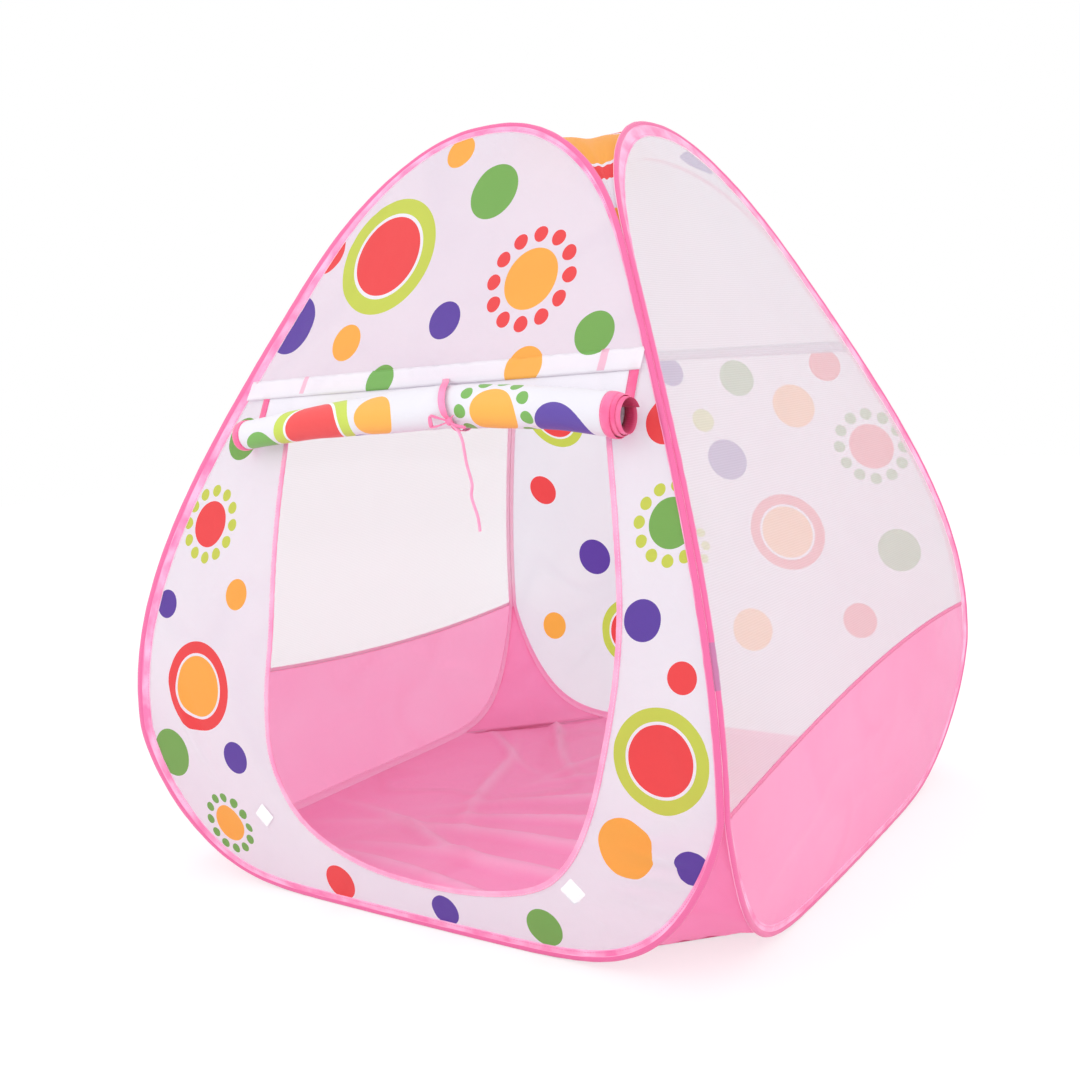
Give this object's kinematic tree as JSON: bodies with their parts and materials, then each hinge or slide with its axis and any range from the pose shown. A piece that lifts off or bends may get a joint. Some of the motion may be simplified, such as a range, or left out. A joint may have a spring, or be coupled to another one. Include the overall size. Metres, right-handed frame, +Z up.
{
  "type": "pop-up play tent",
  "caption": "Square pop-up play tent with sprung wire edges, printed and net walls, a sewn-in floor and a door rolled up and tied over a rounded opening.",
  "frame": {"origin": "middle of the floor's underside, on the ground", "axes": "+Z up, the door wall faces -Y, +X to the right of a viewer who faces the door"},
  "size_m": [0.9137, 0.9134, 0.9996],
  "materials": {
    "printed_polyester": "thin woven polyester, printed",
    "polyester_net": "fine knitted net",
    "pink_polyester": "thin woven polyester, coated",
    "polyester_tape": "folded binding tape",
    "pale_polyester_tape": "folded binding tape",
    "hook_and_loop": "hook-and-loop pad",
    "taped_joint": "crimped and wrapped",
    "spring_steel": "bare spring wire"
  },
  "bodies": {
    "front_wall": {"corner_gusset_back_left": "pink_polyester", "corner_gusset_back_right": "pink_polyester", "corner_gusset_front_left": "pink_polyester", "corner_gusset_front_right": "pink_polyester", "door_edge_binding": "pale_polyester_tape", "door_header_hem": "printed_polyester", "floor_panel": "pink_polyester", "front_lower_panel": "printed_polyester", "front_upper_panel": "printed_polyester", "front_wire_ferrule": "taped_joint", "front_wire_loop": "spring_steel", "front_wire_sleeve": "polyester_tape", "hook_patch_left": "hook_and_loop", "hook_patch_right": "hook_and_loop", "roof_cap": "printed_polyester"},
    "right_wall": {"right_net_panel": "polyester_net", "right_skirt_panel": "pink_polyester", "right_wire_ferrule": "taped_joint", "right_wire_loop": "spring_steel", "right_wire_sleeve": "polyester_tape"},
    "back_wall": {"back_panel": "printed_polyester", "back_wire_ferrule": "taped_joint", "back_wire_loop": "spring_steel", "back_wire_sleeve": "polyester_tape"},
    "left_wall": {"left_net_panel": "polyester_net", "left_skirt_panel": "pink_polyester", "left_wire_ferrule": "taped_joint", "left_wire_loop": "spring_steel", "left_wire_sleeve": "polyester_tape"},
    "door_flap": {"door_flap_binding_left": "polyester_tape", "door_flap_binding_right": "polyester_tape", "door_flap_roll": "printed_polyester", "door_tie_bow": "polyester_tape", "door_tie_ribbon": "polyester_tape", "door_tie_tail": "polyester_tape"}
  },
  "joints": [
    {"name": "fold_front_right", "type": "hinge", "parent": "front_wall", "child": "right_wall", "pos_m": [0.39911, -0.39911, 0.207], "axis": [-0.257, 0.257, 0.9316], "range_deg": [0, 65], "stiffness_Nm_per_rad": 3, "springref_deg": -45.84, "deforming": ["floor_panel", "roof_cap", "corner_gusset_back_left", "corner_gusset_back_right", "corner_gusset_front_left", "corner_gusset_front_right"]},
    {"name": "fold_right_back", "type": "hinge", "parent": "right_wall", "child": "back_wall", "pos_m": [0.50911, 0.50911, 0.207], "axis": [-0.3151, -0.3151, 0.8952], "range_deg": [-64, 0]},
    {"name": "fold_front_left", "type": "hinge", "parent": "front_wall", "child": "left_wall", "pos_m": [-0.50911, -0.50911, 0.207], "axis": [0.3151, 0.3151, 0.8952], "range_deg": [0, 64]},
    {"name": "door_flap_lift", "type": "hinge", "parent": "front_wall", "child": "door_flap", "pos_m": [0.0125, -0.33788, 0.67081], "axis": [-0.9995, -0.0146, -0.0272], "range_deg": [0, 110]}
  ],
  "couplings": [
    {"joint": "fold_right_back", "follows": "fold_front_right", "ratio": -0.98},
    {"joint": "fold_front_left", "follows": "fold_front_right", "ratio": 0.98}
  ]
}
